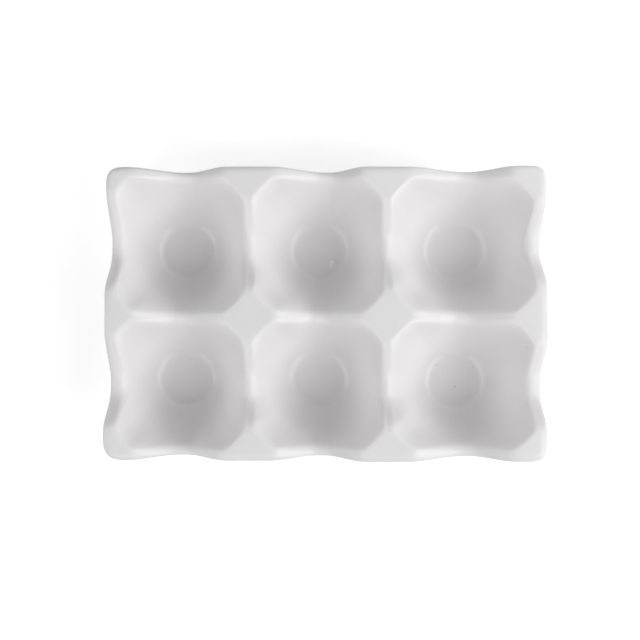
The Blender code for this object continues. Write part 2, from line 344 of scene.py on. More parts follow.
# %% Floor, ring, wall and lip
LIP_CHANGE = 1.7              # the higher, the sooner a post's lip becomes the lip of the dip
LIP_RUN, LIP_RISE = 0.6, 0.2  # about how much of the lip's size the wall stops short of the crest
BELLY_PEAK = 27 / 4           # makes the bulge as large as its name says where it is largest
FLAT_SHARE = 0.70             # of the floor's radius has few squares, and the ring has the rest
RING_INSIDE = (0.91, 1.0)     # where the ring rises, as shares of the floor's radius
RING_OUTSIDE = (0.0, 0.08)    # where it falls again, as shares of the wall
RING_SIDES = (0.30, 0.80)     # how far round from the front and the back it has faded in
RING_FRONT = (-0.75, 0.0)     # and from the front alone

stretch = {}
passed = 0
for name, count in CUT_WALK:
    stretch[name] = progress(row, float(passed), float(passed + count))
    passed += count

low_x = 1.0 - (1.0 - dip_x) ** LIP_CHANGE
low_y = 1.0 - (1.0 - dip_y) ** LIP_CHANGE
low_down = low_x + low_y
side_lip = mixed(size["Left Saddle Lip"], size["Right Saddle Lip"], to_right)
front_lip = mixed(size["Front Left Lip"], size["Front Right Lip"], to_right)
post_lip = mixed(front_lip, size["Back Lip"], to_back)
lip = post_lip * (1.0 - low_down) + side_lip * low_x + size["End Saddle Lip"] * low_y
front_left = (1.0 - to_right) * (1.0 - to_back)
roundness = mixed(size["Left Roundness"], size["Right Roundness"], to_right)
roundness = mixed(roundness, size["Front Left Roundness"], front_left)
wall_foot = (size["Floor Radius"], size["Floor Height"] + size["Floor Dish"])
far = root(mouth_x * mouth_x + mouth_y * mouth_y)
wall_run = far - wall_foot[0] - lip * LIP_RUN + (far - smaller(half_x, half_y)) * (roundness - 1.0)
wall_rise = crest - wall_foot[1] - lip * size["Lip Stretch"] * LIP_RISE
full_turn = (wall_rise / wall_run / size["Lip Stretch"]).maths("ARCTANGENT")
turn = full_turn * (1.0 - stretch["lip"])
inset = lip * sine(turn)
cut_limit = (mouth_x + mouth_y) / (half_x + half_y - post - inset * ROOT_TWO)
x_limit = mouth_x / (half_x - bow_x - inset)
y_limit = mouth_y / (half_y - bow_y - inset)
power = mixed(size["Corner Power"], size["Front Left Power"], front_left)
soft = (cut_limit ** power + x_limit ** power + y_limit ** power) ** (power ** -1.0)
hard = larger(larger(cut_limit, x_limit), y_limit)
lip_reach = far * mixed(soft ** -1.0, hard ** -1.0, stretch["lip"])
lip_height = crest - lip * size["Lip Stretch"] * (1.0 - cosine(turn))


def bowed(share, low, high):
    """Reach and height part of the way up a wall that bows out, most of all a third of the way up."""
    run = high[0] - low[0]
    rise = high[1] - low[1]
    bulge = share * (1.0 - share) * (1.0 - share) * BELLY_PEAK * size["Wall Belly"]
    return low[0] + run * share + bulge * rise, low[1] + rise * share - bulge * run


reach, height = bowed(stretch["wall"], wall_foot, (lip_reach, lip_height))
round_reach = smaller(half_x, half_y) - inset
reach = reach + (lip_reach - round_reach) * (stretch["wall"] ** roundness - stretch["wall"])
floor_share = stretch["floor"] * FLAT_SHARE + stretch["ring"] * (1.0 - FLAT_SHARE)
ring_line = progress(floor_share, *RING_INSIDE) * (1.0 - progress(stretch["wall"], *RING_OUTSIDE))
ring_sides = progress(mouth_x / far, *RING_SIDES)
ring_back = progress(mouth_y / far * sign_y, *RING_FRONT)
ring_line = eased(ring_line) * eased(ring_sides) * eased(ring_back)
reach = reach - size["Floor Radius"] * (1.0 - floor_share)
height = height - size["Floor Dish"] * (1.0 - floor_share ** size["Floor Power"])
height = height + size["Ring Height"] * ring_line
print("floor to lip:", len(cup_tree.nodes), "nodes")

# %% [markdown]
# ## Over the rim and back underneath
#
# Where the tray ends, the crest rounds over into a thick rim, drops down its face, rounds in below
# and runs back to the wall. Between two cups there is no rim. The underside follows the wall down to
# the flat seat of the foot. At the left, on the front half of a cup, the rim also rolls down outward
# where the crest climbs.

# %% Rim, underside and seat
quarter_turn = math.pi / 2
under_turn = stretch["under"] * quarter_turn
rim_here = mixed(rim_x, rim_y, cut > 0.5)
under_share = size["Rim Under Round"] / larger(rim_here, size["Rim Under Round"])
outward = sine(stretch["edge"] * quarter_turn)
outward = outward - under_share * (1.0 - cosine(under_turn))
outward = outward - (1.0 - under_share) * stretch["back"]
flank = size["Rim Thickness"] - size["Rim Round"] - size["Rim Under Round"]
height = height - size["Rim Round"] * (1.0 - cosine(stretch["edge"] * quarter_turn))
height = height - size["Outer Roll"] * front_left * dip_x * (1.0 - dip_x) * 4.0 * outward
height = height - flank * stretch["face"] - size["Rim Under Round"] * sine(under_turn)

seat = (size["Seat Radius"], size["Seat Height"])
brow = (far, crest - size["Rim Thickness"])
under_reach, under_height = bowed(1.0 - stretch["outside"], seat, brow)
reach = reach + under_reach - brow[0] - size["Seat Radius"] * stretch["seat"]
height = height + under_height - brow[1]
print("whole cut:", len(cup_tree.nodes), "nodes")

# %% [markdown]
# ## Bending the sheet into a cup
#
# Between two cups there is no outer edge, so those squares of the sheet are deleted first. Then Set
# Position carries every point to its place. No floor lies exactly under the middle of its mouth, so
# the lower a point is, the more of its cup's shift it gets. Two named attributes mark where the
# colour is painted paler, along crests, lips and ring, and where it is painted greyer, on the floor.
# The paler colour is partly glaze that runs thin there and partly painted highlight, and the greyer
# floor is painted shade. The material uses them later.

# %% Delete, remember, bend
edge_start = sum(count for _, count in CUT_WALK[:5])
edge_end = sum(count for _, count in CUT_WALK[:9])
no_rim = (rim_here < 1e-6) * (row > float(edge_start)) * (row < float(edge_end))
trimmed = add_node(cup_tree, "GeometryNodeDeleteGeometry", {"domain": "FACE"},
                   Geometry=sheet.outputs["Mesh"], Selection=no_rim)

CREST_SHARE = 0.2             # the broad crests are painted less pale than the lips and the ring
LIP_SHARE = 0.5
LIP_LENGTH = 0.3              # of the lip, counted in lengths of the wall
LIP_LINE = (0.85, 1.1)        # where the pale line on a lip begins, in lengths of the wall
LIP_FADE = (0.35, 1.0)        # where it ends, as shares of the lip
FLOOR_SHADE_EDGE = (0.84, 0.97)      # where the painted floor shade ends, as shares of the floor's radius
lip_start = eased(progress(stretch["wall"] + stretch["lip"] * LIP_LENGTH, *LIP_LINE))
lip_line = lip_start * (1.0 - eased(progress(stretch["lip"], *LIP_FADE)))
crest_top = eased(stretch["lip"]) * (1.0 - stretch["under"])
# Paler colour on crests, lips and the ring: partly glaze that runs thin over edges, and partly
# painted highlight, most of all the light lines along the lips and the ring.
thin_and_highlit = crest_top * CREST_SHARE + lip_line * (1.0 - low_down) * LIP_SHARE + ring_line
# Painted shade: the floor of each cup is painted greyer, out to near its ring.
floor_shade = 1.0 - eased(progress(floor_share, *FLOOR_SHADE_EDGE))
noted = trimmed
for label, share in (("thin_glaze_and_painted_highlight", thin_and_highlit), ("painted_floor_shade", floor_shade)):
    noted = add_node(cup_tree, "GeometryNodeStoreNamedAttribute",
                     {"data_type": "FLOAT", "domain": "POINT"},
                     Geometry=noted.outputs[0], Name=label, Value=share)

post_share = stretch["post"] - stretch["post_under"]
flat_x = mouth_x * (reach / far) + (cell_x - mouth_x) * post_share + (edge_x - cell_x) * outward
flat_y = mouth_y * (reach / far) + (cell_y - mouth_y) * post_share + (edge_y - cell_y) * outward
low_part = 1.0 - stretch["wall"]
spot_x = flat_x * sign_x + size["Floor Shift X"] * low_part
spot_y = flat_y * sign_y + size["Floor Shift Y"] * low_part
spot = add_node(cup_tree, "ShaderNodeCombineXYZ", X=spot_x, Y=spot_y, Z=height)
bent = add_node(cup_tree, "GeometryNodeSetPosition", Geometry=noted.outputs[0],
                Position=spot.outputs[0])
turned = add_node(cup_tree, "GeometryNodeFlipFaces", Mesh=bent.outputs[0])
add_node(cup_tree, "NodeGroupOutput", Geometry=turned.outputs[0])
print("cup tree:", len(cup_tree.nodes), "nodes")

# %% [markdown]
# ## Six cups, one skin
#
# The tray's tree holds the cup's tree six times and welds the six sheets along their crests. One cup
# copied six times would be too even for a tray finished by hand, so each gets its own width, depth,
# rims, corner and floor, measured in the photograph or corrected against it. Then the glaze does its
# work: a blur of the points melts each edge a little, as a thick glaze does in the kiln, and a slow
# noise takes away the evenness that no slip-cast tray has. The noise only moves points inward, so the
# tray stays within its frame.

# %% How the cups differ
LEFT_POST = 0.0044            # the posts on the left rim are smaller than the rest
SIDE_BOW = 0.0018             # how far the left and right rims widen beside a cup, inwards
END_BOW = 0.0004              # the same at the front and back rims
FLOOR_SHIFTS = {              # how far each floor lies from under the middle of its mouth, x and y
    "back left": (-0.0001, -0.0009), "back middle": (0.0005, -0.0006),
    "back right": (-0.0001, -0.0005), "front left": (-0.0008, 0.0010),
    "front middle": (0.0002, 0.0007), "front right": (0.0, 0.0002),
}
RIM_SHORTFALLS = {            # how far short of the frame's outside the rim stays
    "left": (0.0, 0.0006, 0.0012),               # at the front, the middle and the back
    "right": (0.0003, 0.0001, 0.0007),
    "front": (0.0012, 0.0010, 0.0005, 0.0005),   # from left to right: corner, posts, corner
    "back": (0.0010, 0.0009, 0.0009, 0.0005),
}
WAVE_SHIFTS = {               # how far the dips of the front and back rims lie to the right
    "front": (0.0004, 0.0014, 0.0018), "back": (0.0010, 0.0034, 0.0022),
}
CORNER_RADII = {              # the corners on the left are rounder
    "front left": 0.0064, "back left": 0.0054, "front right": 0.0046, "back right": 0.0038,
}
LEFT_COLUMN = {"Left Roundness": 3.6, "Outer Roll": 0.0015, "Left Front Flat": 0.0028,
               "Left Front Shoulder": 0.0040, "Left Post": LEFT_POST, "Left Bow": SIDE_BOW}
RIGHT_COLUMN = {"Right Bow": SIDE_BOW}
BACK_RIGHT = {"Floor Radius": 0.0113, "Floor Height": seat_height + 0.0052,
              "Right Front Flat": 0.0040, "Right Front Shoulder": 0.0030}


def own_sizes(column_index, row_index):
    """The sizes that set one cup apart from the others."""
    column_name, row_name = COLUMNS[column_index], ROWS[row_index]
    cup_name = f"{row_name} {column_name}"
    own = {
        "Width": x_lines[column_index + 1] - x_lines[column_index],
        "Depth": y_lines[row_index + 1] - y_lines[row_index],
        f"{row_name.title()} Bow": END_BOW,
        f"{row_name.title()} Wave Shift": WAVE_SHIFTS[row_name][column_index],
    }
    own["Floor Shift X"], own["Floor Shift Y"] = FLOOR_SHIFTS[cup_name]
    own.update({"left": LEFT_COLUMN, "right": RIGHT_COLUMN}.get(column_name, {}))
    own.update(BACK_RIGHT if cup_name == "back right" else {})
    rims = [(row_name, "Left", column_index), (row_name, "Right", column_index + 1)]
    if column_name != "middle":
        own["Corner Radius"] = CORNER_RADII[cup_name]
        rims += [(column_name, "Front", row_index), (column_name, "Back", row_index + 1)]
    for side, end, place in rims:
        own[f"{side.title()} Rim {end}"] = rim_margin - RIM_SHORTFALLS[side][place]
    return own


print("rims from", round(rim_margin - max(max(v) for v in RIM_SHORTFALLS.values()), 4), "to",
      round(rim_margin, 4), "past the crest")

# %% The tray's tree
tray_tree, tray_in, tray_size = new_tree("Egg tray", {
    "Melt": 2.0, "Unevenness": 0.00018, "Unevenness Scale": 38.0, "Glaze": None,
})
joined = tray_tree.nodes.new("GeometryNodeJoinGeometry")
for column_index, column_name in enumerate(COLUMNS):
    for row_index, row_name in enumerate(ROWS):
        cup = tray_tree.nodes.new("GeometryNodeGroup")
        cup.node_tree = cup_tree
        cup.label = f"cup {row_name} {column_name}"
        for label, value in own_sizes(column_index, row_index).items():
            cup.inputs[label].default_value = value
        middle = ((x_lines[column_index] + x_lines[column_index + 1]) / 2,
                  (y_lines[row_index] + y_lines[row_index + 1]) / 2, 0.0)
        moved = add_node(tray_tree, "GeometryNodeTransform", Geometry=cup.outputs[0],
                         Translation=middle)
        tray_tree.links.new(moved.outputs[0], joined.inputs[0])
welded = add_node(tray_tree, "GeometryNodeMergeByDistance", Geometry=joined.outputs[0],
                  Distance=4e-6)

spot_now = tray_tree.nodes.new("GeometryNodeInputPosition")
melted = add_node(tray_tree, "GeometryNodeBlurAttribute", {"data_type": "FLOAT_VECTOR"},
                  Value=spot_now.outputs[0], Iterations=tray_size["Melt"])
softened = add_node(tray_tree, "GeometryNodeSetPosition", Geometry=welded.outputs[0],
                    Position=melted.outputs[0])
swell = add_node(tray_tree, "ShaderNodeTexNoise", {"noise_dimensions": "3D"},
                 Vector=spot_now.outputs[0], Scale=tray_size["Unevenness Scale"], Detail=1.0)
inward = (Formula(tray_tree, swell.outputs[0]) - 1.0) * tray_size["Unevenness"]
push = add_node(tray_tree, "ShaderNodeVectorMath", {"operation": "SCALE"},
                Vector=tray_tree.nodes.new("GeometryNodeInputNormal").outputs[0], Scale=inward)
uneven = add_node(tray_tree, "GeometryNodeSetPosition", Geometry=softened.outputs[0],
                  Offset=push.outputs[0])
smooth = add_node(tray_tree, "GeometryNodeSetShadeSmooth", Geometry=uneven.outputs[0])
real = add_node(tray_tree, "GeometryNodeRealizeInstances", Geometry=smooth.outputs[0])
glazed = add_node(tray_tree, "GeometryNodeSetMaterial", Geometry=real.outputs[0],
                  Material=tray_in.outputs["Glaze"])
add_node(tray_tree, "NodeGroupOutput", Geometry=glazed.outputs[0])
print("tray tree:", len(tray_tree.nodes), "nodes")

# %% [markdown]
# ## What firing leaves on a surface
#
# Glaze and bare clay look different, but firing marks both in the same three ways: a slow mottle
# where the coat or the body is thicker, a fine grain that breaks up reflections, and here and there
# a dark speck. Photographs of ceramic could be wrapped round the tray instead, but noise on the
# object's own coordinates shows no seam and stays sharp close up. One group makes all three marks,
# and each material places it with its own sizes.

# %% The group that both finishes share
fired = bpy.data.node_groups.new("Fired surface", "ShaderNodeTree")
fired.interface.new_socket("Vector", in_out="INPUT", socket_type="NodeSocketVector")
for label in ("Mottle Scale", "Grain Scale", "Speck Scale", "Speck Size"):
    fired.interface.new_socket(label, in_out="INPUT", socket_type="NodeSocketFloat")
for label in ("Mottle", "Grain", "Specks"):
    fired.interface.new_socket(label, in_out="OUTPUT", socket_type="NodeSocketFloat")
fired_in = fired.nodes.new("NodeGroupInput").outputs
mottle = add_node(fired, "ShaderNodeTexNoise", Vector=fired_in["Vector"],
                  Scale=fired_in["Mottle Scale"], Detail=3.0, Roughness=0.55)
grain = add_node(fired, "ShaderNodeTexNoise", Vector=fired_in["Vector"],
                 Scale=fired_in["Grain Scale"], Detail=2.0)
cells = add_node(fired, "ShaderNodeTexVoronoi", Vector=fired_in["Vector"],
                 Scale=fired_in["Speck Scale"])
SPECK_RARITY = 0.86           # the share of the cells that have no speck
near = 1.0 - progress(Formula(fired, cells.outputs["Distance"]), 0.0,
                      Formula(fired, fired_in["Speck Size"]))
chance = add_node(fired, "ShaderNodeSeparateColor", Color=cells.outputs["Color"])
rare = Formula(fired, chance.outputs["Red"]) > SPECK_RARITY
add_node(fired, "NodeGroupOutput", Mottle=mottle.outputs[0], Grain=grain.outputs[0],
         Specks=eased(near) * rare)
print("shared finish:", len(fired.nodes), "nodes")


# %% A material that starts with the group in place
def fired_material(name, roughness, **sizes):
    """A Principled material with the shared group on object coordinates, and its parts."""
    material = bpy.data.materials.new(name)
    material.use_nodes = True
    tree = material.node_tree
    shader = tree.nodes["Principled BSDF"]
    where = tree.nodes.new("ShaderNodeTexCoord").outputs["Object"]
    marks = tree.nodes.new("ShaderNodeGroup")
    marks.node_tree = fired
    tree.links.new(where, marks.inputs["Vector"])
    for label, value in sizes.items():
        marks.inputs[label.replace("_", " ")].default_value = value
    spread = add_node(tree, "ShaderNodeMapRange", Value=marks.outputs["Mottle"], From_Min=0.3,
                      From_Max=0.7, To_Min=roughness[0], To_Max=roughness[1])
    tree.links.new(spread.outputs[0], shader.inputs["Roughness"])
    return material, tree, shader, marks, where


def tinted(tree, first, second, share):
    """The colour between two others, which may be plain colours or links."""
    node = add_node(tree, "ShaderNodeMix", {"data_type": "RGBA"}, Factor=share, A=first, B=second)
    return next(socket for socket in node.outputs if socket.enabled)


def roughened(tree, shader, height, strength, distance):
    bump = add_node(tree, "ShaderNodeBump", Strength=strength, Distance=distance, Height=height)
    tree.links.new(bump.outputs[0], shader.inputs["Normal"])


print("material helpers ready")

# %% [markdown]
# ## White satin glaze
#
# The glaze is a thick white coat, a little pink against pure grey, with a soft gloss. Its colour is
# painted a little greyer on the floors of the cups, as painted shade. It is painted paler over lips,
# crests and the ring, in patches: partly glaze that runs thin over edges, and partly painted
# highlight. A few pinholes sit where gas broke through in the kiln. They are far too small to model,
# so each is a dark spot and a dent, set by its distance from one place on the tray.
# That place is where a ray from the lens, through the pinhole in the photograph, met the skin.

# %% The glaze
GLAZE_FULL = (0.865, 0.851, 0.856, 1.0)
GLAZE_THICK = (0.845, 0.832, 0.837, 1.0)
# painted shade on the cup floors
GLAZE_FLOOR_SHADE = (0.825, 0.812, 0.818, 1.0)
# paler colour, partly thin glaze and partly painted highlight
GLAZE_THIN_AND_HIGHLIGHT = (0.950, 0.935, 0.939, 1.0)
PINHOLE_TONE = (0.33, 0.31, 0.30, 1.0)
PATCH_EDGE = (0.30, 0.50)     # of the mottle, between patches of full glaze and of the paler colour
SPECK_DEPTH = 0.4
PINHOLE_DEPTH = 0.25
PINHOLES = (   # x, y, z and radius
    (0.0503, -0.0281, 0.0059, 0.00080), (0.0433, -0.0197, 0.0060, 0.00055),
    (0.0574, -0.0205, 0.0060, 0.00038), (0.0738, -0.0123, 0.0348, 0.00055),
    (-0.0453, 0.0224, 0.0059, 0.00045),
)
glaze, tree, shader, marks, where = fired_material(
    "white_glaze_satin", (0.38, 0.46), Mottle_Scale=55.0, Grain_Scale=420.0, Speck_Scale=95.0,
    Speck_Size=0.012)
colour = tinted(tree, GLAZE_FULL, GLAZE_THICK, marks.outputs["Mottle"])
patches = progress(Formula(tree, marks.outputs["Mottle"]), *PATCH_EDGE)
# Painted shade greys the floors. Paler colour, partly thin glaze and partly painted highlight, lies
# on lips, crests, the ring and the drop.
for label, tone, share in (("painted_floor_shade", GLAZE_FLOOR_SHADE, 1.0), ("thin_glaze_and_painted_highlight", GLAZE_THIN_AND_HIGHLIGHT, patches)):
    tone_share = add_node(tree, "ShaderNodeAttribute", {"attribute_name": label})
    colour = tinted(tree, colour, tone, Formula(tree, tone_share.outputs["Fac"]) * share)
pits = Formula(tree, marks.outputs["Specks"]) * SPECK_DEPTH
for *spot, radius in PINHOLES:
    gap = add_node(tree, "ShaderNodeVectorMath", {"operation": "DISTANCE"}, Vector=where)
    gap.inputs[1].default_value = spot
    pit = 1.0 - progress(Formula(tree, gap.outputs["Value"]), radius * 0.3, radius)
    pits = larger(pits, pit * PINHOLE_DEPTH)
colour = tinted(tree, colour, PINHOLE_TONE, pits)
tree.links.new(colour, shader.inputs["Base Color"])
roughened(tree, shader, Formula(tree, marks.outputs["Grain"]) - pits, 0.06, 0.0004)
print("glaze:", len(tree.nodes), "nodes")

# %% [markdown]
# ## Bare clay
#
# Glaze would weld the tray to the kiln shelf, so the potter wipes it off the feet. What shows there
# is the fired body itself: cream, dry and slightly sandy, with more specks than the glaze.

# %% The bare clay
CLAY_LIGHT = (0.66, 0.60, 0.52, 1.0)
CLAY_DARK = (0.56, 0.50, 0.42, 1.0)
CLAY_SPECK = (0.25, 0.20, 0.16, 1.0)
bare_clay, tree, shader, marks, where = fired_material(
    "bare_clay_wiped", (0.78, 0.92), Mottle_Scale=160.0, Grain_Scale=2600.0, Speck_Scale=420.0,
    Speck_Size=0.16)
colour = tinted(tree, CLAY_LIGHT, CLAY_DARK, marks.outputs["Mottle"])
colour = tinted(tree, colour, CLAY_SPECK, marks.outputs["Specks"])
tree.links.new(colour, shader.inputs["Base Color"])
roughened(tree, shader, marks.outputs["Grain"], 0.5, 0.0003)
print("bare clay:", len(tree.nodes), "nodes")

# %% [markdown]
# ## Running a tree
#
# A Geometry Nodes modifier is live: it works again whenever something changes. A finished piece
# should be a plain mesh, so each tree is run once, its result is kept and the modifier is removed.

# %% Run a tree and keep a plain mesh
def grown(name, tree, values, points=()):
    """An object at the origin whose plain mesh is what the tree makes with these values."""
    seed = bpy.data.meshes.new(name + "_seed")
    seed.from_pydata(list(points), [], [])
    piece = bpy.data.objects.new(name, seed)
    bpy.context.scene.collection.objects.link(piece)
    modifier = piece.modifiers.new("rule", "NODES")
    modifier.node_group = tree
    for item in tree.interface.items_tree:
        if item.in_out == "INPUT" and item.name in values:
            modifier[item.identifier] = values[item.name]
    seen = piece.evaluated_get(bpy.context.evaluated_depsgraph_get())
    mesh = bpy.data.meshes.new_from_object(seen)
    piece.modifiers.remove(modifier)
    piece.data = mesh
    mesh.name = name
    bpy.data.meshes.remove(seed)
    return piece


def report(piece):
    """Prints what was made, with its count of open edges and its signed volume."""
    shape = bmesh.new()
    shape.from_mesh(piece.data)
    loose = sum(1 for edge in shape.edges if len(edge.link_faces) != 2)
    print(f"{piece.name}: {len(shape.verts)} points, {len(shape.faces)} faces, {loose} open edges,",
          f"{shape.calc_volume(signed=True) * 1e6:.4f} ml")
    shape.free()


tray = grown("tray", tray_tree, {"Glaze": glaze})
report(tray)

# %% [markdown]
# ## Bare foot rings
#
# The tray stands on six low rings, one under each cup. One ring could be spun in mesh code and
# copied by hand. Points and instances say the same thing once: the tree bends a sheet into a ring
# with an eased square section, sets one on each point it is given, and makes them real.

# %% The foot rings' tree
RING_SQUARES = (72, 24)
ring_tree, ring_in, ring_size = new_tree("Foot rings", {
    "Outer Radius": (foot_high.x - foot_low.x) / 2, "Inner Radius": 0.0077,
    "Ring Height": seat_height + 0.0004, "Squareness": 0.28, "Wear": 0.00006, "Clay": None,
}, takes_points=True)
ring_sheet = add_node(ring_tree, "GeometryNodeMeshGrid", Size_X=math.tau, Size_Y=math.tau,
                      Vertices_X=RING_SQUARES[0] + 1, Vertices_Y=RING_SQUARES[1] + 1)
ring_place = add_node(ring_tree, "ShaderNodeSeparateXYZ",
                      Vector=ring_tree.nodes.new("GeometryNodeInputPosition").outputs[0])
round_ring = Formula(ring_tree, ring_place.outputs["X"])
round_section = Formula(ring_tree, ring_place.outputs["Y"])


def eased_square(wave):
    """Turns a sine into a wave with flat tops, so that the section is nearly square."""
    return wave.maths("SIGN") * wave.maths("ABSOLUTE") ** ring_size["Squareness"]


half_wide = (ring_size["Outer Radius"] - ring_size["Inner Radius"]) * 0.5
from_middle = ring_size["Inner Radius"] + half_wide * (1.0 + eased_square(cosine(round_section)))
up = ring_size["Ring Height"] * 0.5 * (1.0 + eased_square(sine(round_section)))
ring_spot = add_node(ring_tree, "ShaderNodeCombineXYZ", X=from_middle * cosine(round_ring),
                     Y=from_middle * sine(round_ring), Z=up)
ring = add_node(ring_tree, "GeometryNodeSetPosition", Geometry=ring_sheet.outputs["Mesh"],
                Position=ring_spot.outputs[0])
closed = add_node(ring_tree, "GeometryNodeMergeByDistance", Geometry=ring.outputs[0], Distance=3e-5)
six = add_node(ring_tree, "GeometryNodeInstanceOnPoints", Points=ring_in.outputs["Geometry"],
               Instance=closed.outputs[0])
solid = add_node(ring_tree, "GeometryNodeRealizeInstances", Geometry=six.outputs[0])
worn = add_node(ring_tree, "ShaderNodeTexNoise",
                Vector=ring_tree.nodes.new("GeometryNodeInputPosition").outputs[0], Scale=260.0)
dent = add_node(ring_tree, "ShaderNodeVectorMath", {"operation": "SCALE"},
                Vector=ring_tree.nodes.new("GeometryNodeInputNormal").outputs[0],
                Scale=(Formula(ring_tree, worn.outputs[0]) - 1.0) * ring_size["Wear"])
rubbed = add_node(ring_tree, "GeometryNodeSetPosition", Geometry=solid.outputs[0],
                  Offset=dent.outputs[0])
soft_ring = add_node(ring_tree, "GeometryNodeSetShadeSmooth", Geometry=rubbed.outputs[0])
clayed = add_node(ring_tree, "GeometryNodeSetMaterial", Geometry=soft_ring.outputs[0],
                  Material=ring_in.outputs["Clay"])
add_node(ring_tree, "NodeGroupOutput", Geometry=clayed.outputs[0])

cup_middles = [((x_lines[i] + x_lines[i + 1]) / 2, (y_lines[j] + y_lines[j + 1]) / 2, 0.0)
               for j in range(2) for i in range(3)]
feet = grown("foot_rings", ring_tree, {"Clay": bare_clay}, cup_middles)
report(feet)

# %% [markdown]
# ## A drop of glaze
#
# In the kiln a drop of glaze ran down and set on the floor of the cup at the back, in the middle.
# A bump in the material would only pretend to stand up, so the drop is a piece of its own: a sheet
# bent into a low dome with a soft foot, closed below, longer than it is wide and a little uneven.
# A ray sent down onto the tray finds the floor that it sits on.

# %% The drop's tree, and the drop on its floor
DROP_SQUARES = (28, 12)
DROP_PLACE = (0.0026, 0.0193)
drop_tree, drop_in, drop_size = new_tree("Glaze drop", {
    "Radius": 0.0011, "Stretch": 1.5, "Height": 0.00045, "Sink": 0.00012, "Unevenness": 0.3,
    "Glaze": None,
}, takes_points=True)
drop_sheet = add_node(drop_tree, "GeometryNodeMeshGrid", Size_X=math.tau, Size_Y=2.0,
                      Vertices_X=DROP_SQUARES[0] + 1, Vertices_Y=DROP_SQUARES[1] + 1)
drop_at = drop_tree.nodes.new("GeometryNodeInputPosition")
drop_spot = add_node(drop_tree, "ShaderNodeSeparateXYZ", Vector=drop_at.outputs[0])
angle = Formula(drop_tree, drop_spot.outputs["X"])
walked = Formula(drop_tree, drop_spot.outputs["Y"]) + 1.0
spread = walked.maths("PINGPONG", 1.0)
round_place = add_node(drop_tree, "ShaderNodeCombineXYZ", X=cosine(angle), Y=sine(angle))
wobble = add_node(drop_tree, "ShaderNodeTexNoise", Vector=round_place.outputs[0], Scale=0.9)
swollen = 1.0 + (Formula(drop_tree, wobble.outputs[0]) - 0.5) * drop_size["Unevenness"]
wide = spread * drop_size["Radius"] * swollen
dome = eased(1.0 - spread) * drop_size["Height"] * (walked < 1.0)
drop_height = dome - drop_size["Sink"] * (walked > 1.0)
drop_skin = add_node(drop_tree, "ShaderNodeCombineXYZ", X=wide * cosine(angle),
                     Y=wide * sine(angle) * drop_size["Stretch"], Z=drop_height)
drop_bent = add_node(drop_tree, "GeometryNodeSetPosition", Geometry=drop_sheet.outputs["Mesh"],
                     Position=drop_skin.outputs[0])
drop_closed = add_node(drop_tree, "GeometryNodeMergeByDistance", Geometry=drop_bent.outputs[0],
                       Distance=1e-6)
drop_turned = add_node(drop_tree, "GeometryNodeFlipFaces", Mesh=drop_closed.outputs[0])
drop_set = add_node(drop_tree, "GeometryNodeInstanceOnPoints", Points=drop_in.outputs["Geometry"],
                    Instance=drop_turned.outputs[0])
drop_real = add_node(drop_tree, "GeometryNodeRealizeInstances", Geometry=drop_set.outputs[0])
drop_soft = add_node(drop_tree, "GeometryNodeSetShadeSmooth", Geometry=drop_real.outputs[0])
# The whole drop is painted in the palest glaze colour, a painted highlight on the dome.
drop_painted_highlight = add_node(drop_tree, "GeometryNodeStoreNamedAttribute",
                     {"data_type": "FLOAT", "domain": "POINT"},
                     Geometry=drop_soft.outputs[0], Name="thin_glaze_and_painted_highlight", Value=1.0)
drop_glazed = add_node(drop_tree, "GeometryNodeSetMaterial", Geometry=drop_painted_highlight.outputs[0],
                       Material=drop_in.outputs["Glaze"])
add_node(drop_tree, "NodeGroupOutput", Geometry=drop_glazed.outputs[0])

_, floor_spot, _, _ = tray.ray_cast(Vector((*DROP_PLACE, tray_height)), Vector((0, 0, -1)))
drop = grown("glaze_drop", drop_tree, {"Glaze": glaze}, [floor_spot])
report(drop)

# %% [markdown]
# ## Joining the frame
#
# Nothing on the tray moves, so every piece rides on the one body. The skin stands for all the cups,
# posts and rims of the frame, and the rings stand for its feet. The drop is extra.

# %% Ride and replace
for piece, slot, stands_for in (
    (tray, "white_glaze", [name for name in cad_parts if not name.startswith("foot_")]),
    (feet, "bare_clay", [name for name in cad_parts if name.startswith("foot_")]),
    (drop, "white_glaze", []),
):
    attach(piece, "root")
    if stands_for:
        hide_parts(*stands_for)
    print(piece.name, "stands for", len(stands_for), "nodes of the frame")

# %% [markdown]
# ## The camera
#
# The photograph was taken from straight above, with the camera level with the tray's long side and
# the frame's middle a little off the tray's. The cup floors lie further from the lens than the
# posts, so they sit closer together in the picture. How much closer gives the camera's height.

# %% A camera straight above
PICTURE = 640                 # pixels across the square picture
PIXEL = 0.0003626             # size of a pixel in the plane of the post tops
CAMERA_RISE = 0.450           # from the post tops up to the lens
OFF_MIDDLE = (-5.5, -6.25)    # from the tray's middle to the picture's, in pixels
lens = bpy.data.cameras.new("camera")
camera = bpy.data.objects.new("camera", lens)
bpy.context.scene.collection.objects.link(camera)
camera.location = (OFF_MIDDLE[0] * PIXEL, OFF_MIDDLE[1] * PIXEL, tray_height + CAMERA_RISE)
lens.sensor_width = 36.0
lens.lens = lens.sensor_width * CAMERA_RISE / (PICTURE * PIXEL)
bpy.context.scene.camera = camera
print(f"camera {camera.location.z:.3f} m up, lens {lens.lens:.1f} mm")

# %% [markdown]
# ## Light
#
# The tray stands on a white table in soft light. The walls of each cup tell where the light comes
# from: they are brightest at the back left and darkest at the front right, so the main softboxes
# stand at the front right, with weaker ones at the front and the left. The back row and the left end
# are a little brighter than an even light would make them. Small softboxes close by, two at the back
# right and one at the left, do that, because near light falls off within the tray's own length.
#
# These lamps and their strengths come from a fit, not from the eye. The tray was rendered under one
# lamp at a time, the pictures were mixed by least squares to match the photograph, and the ten lamps
# that counted were kept, with their strengths rounded to two places.

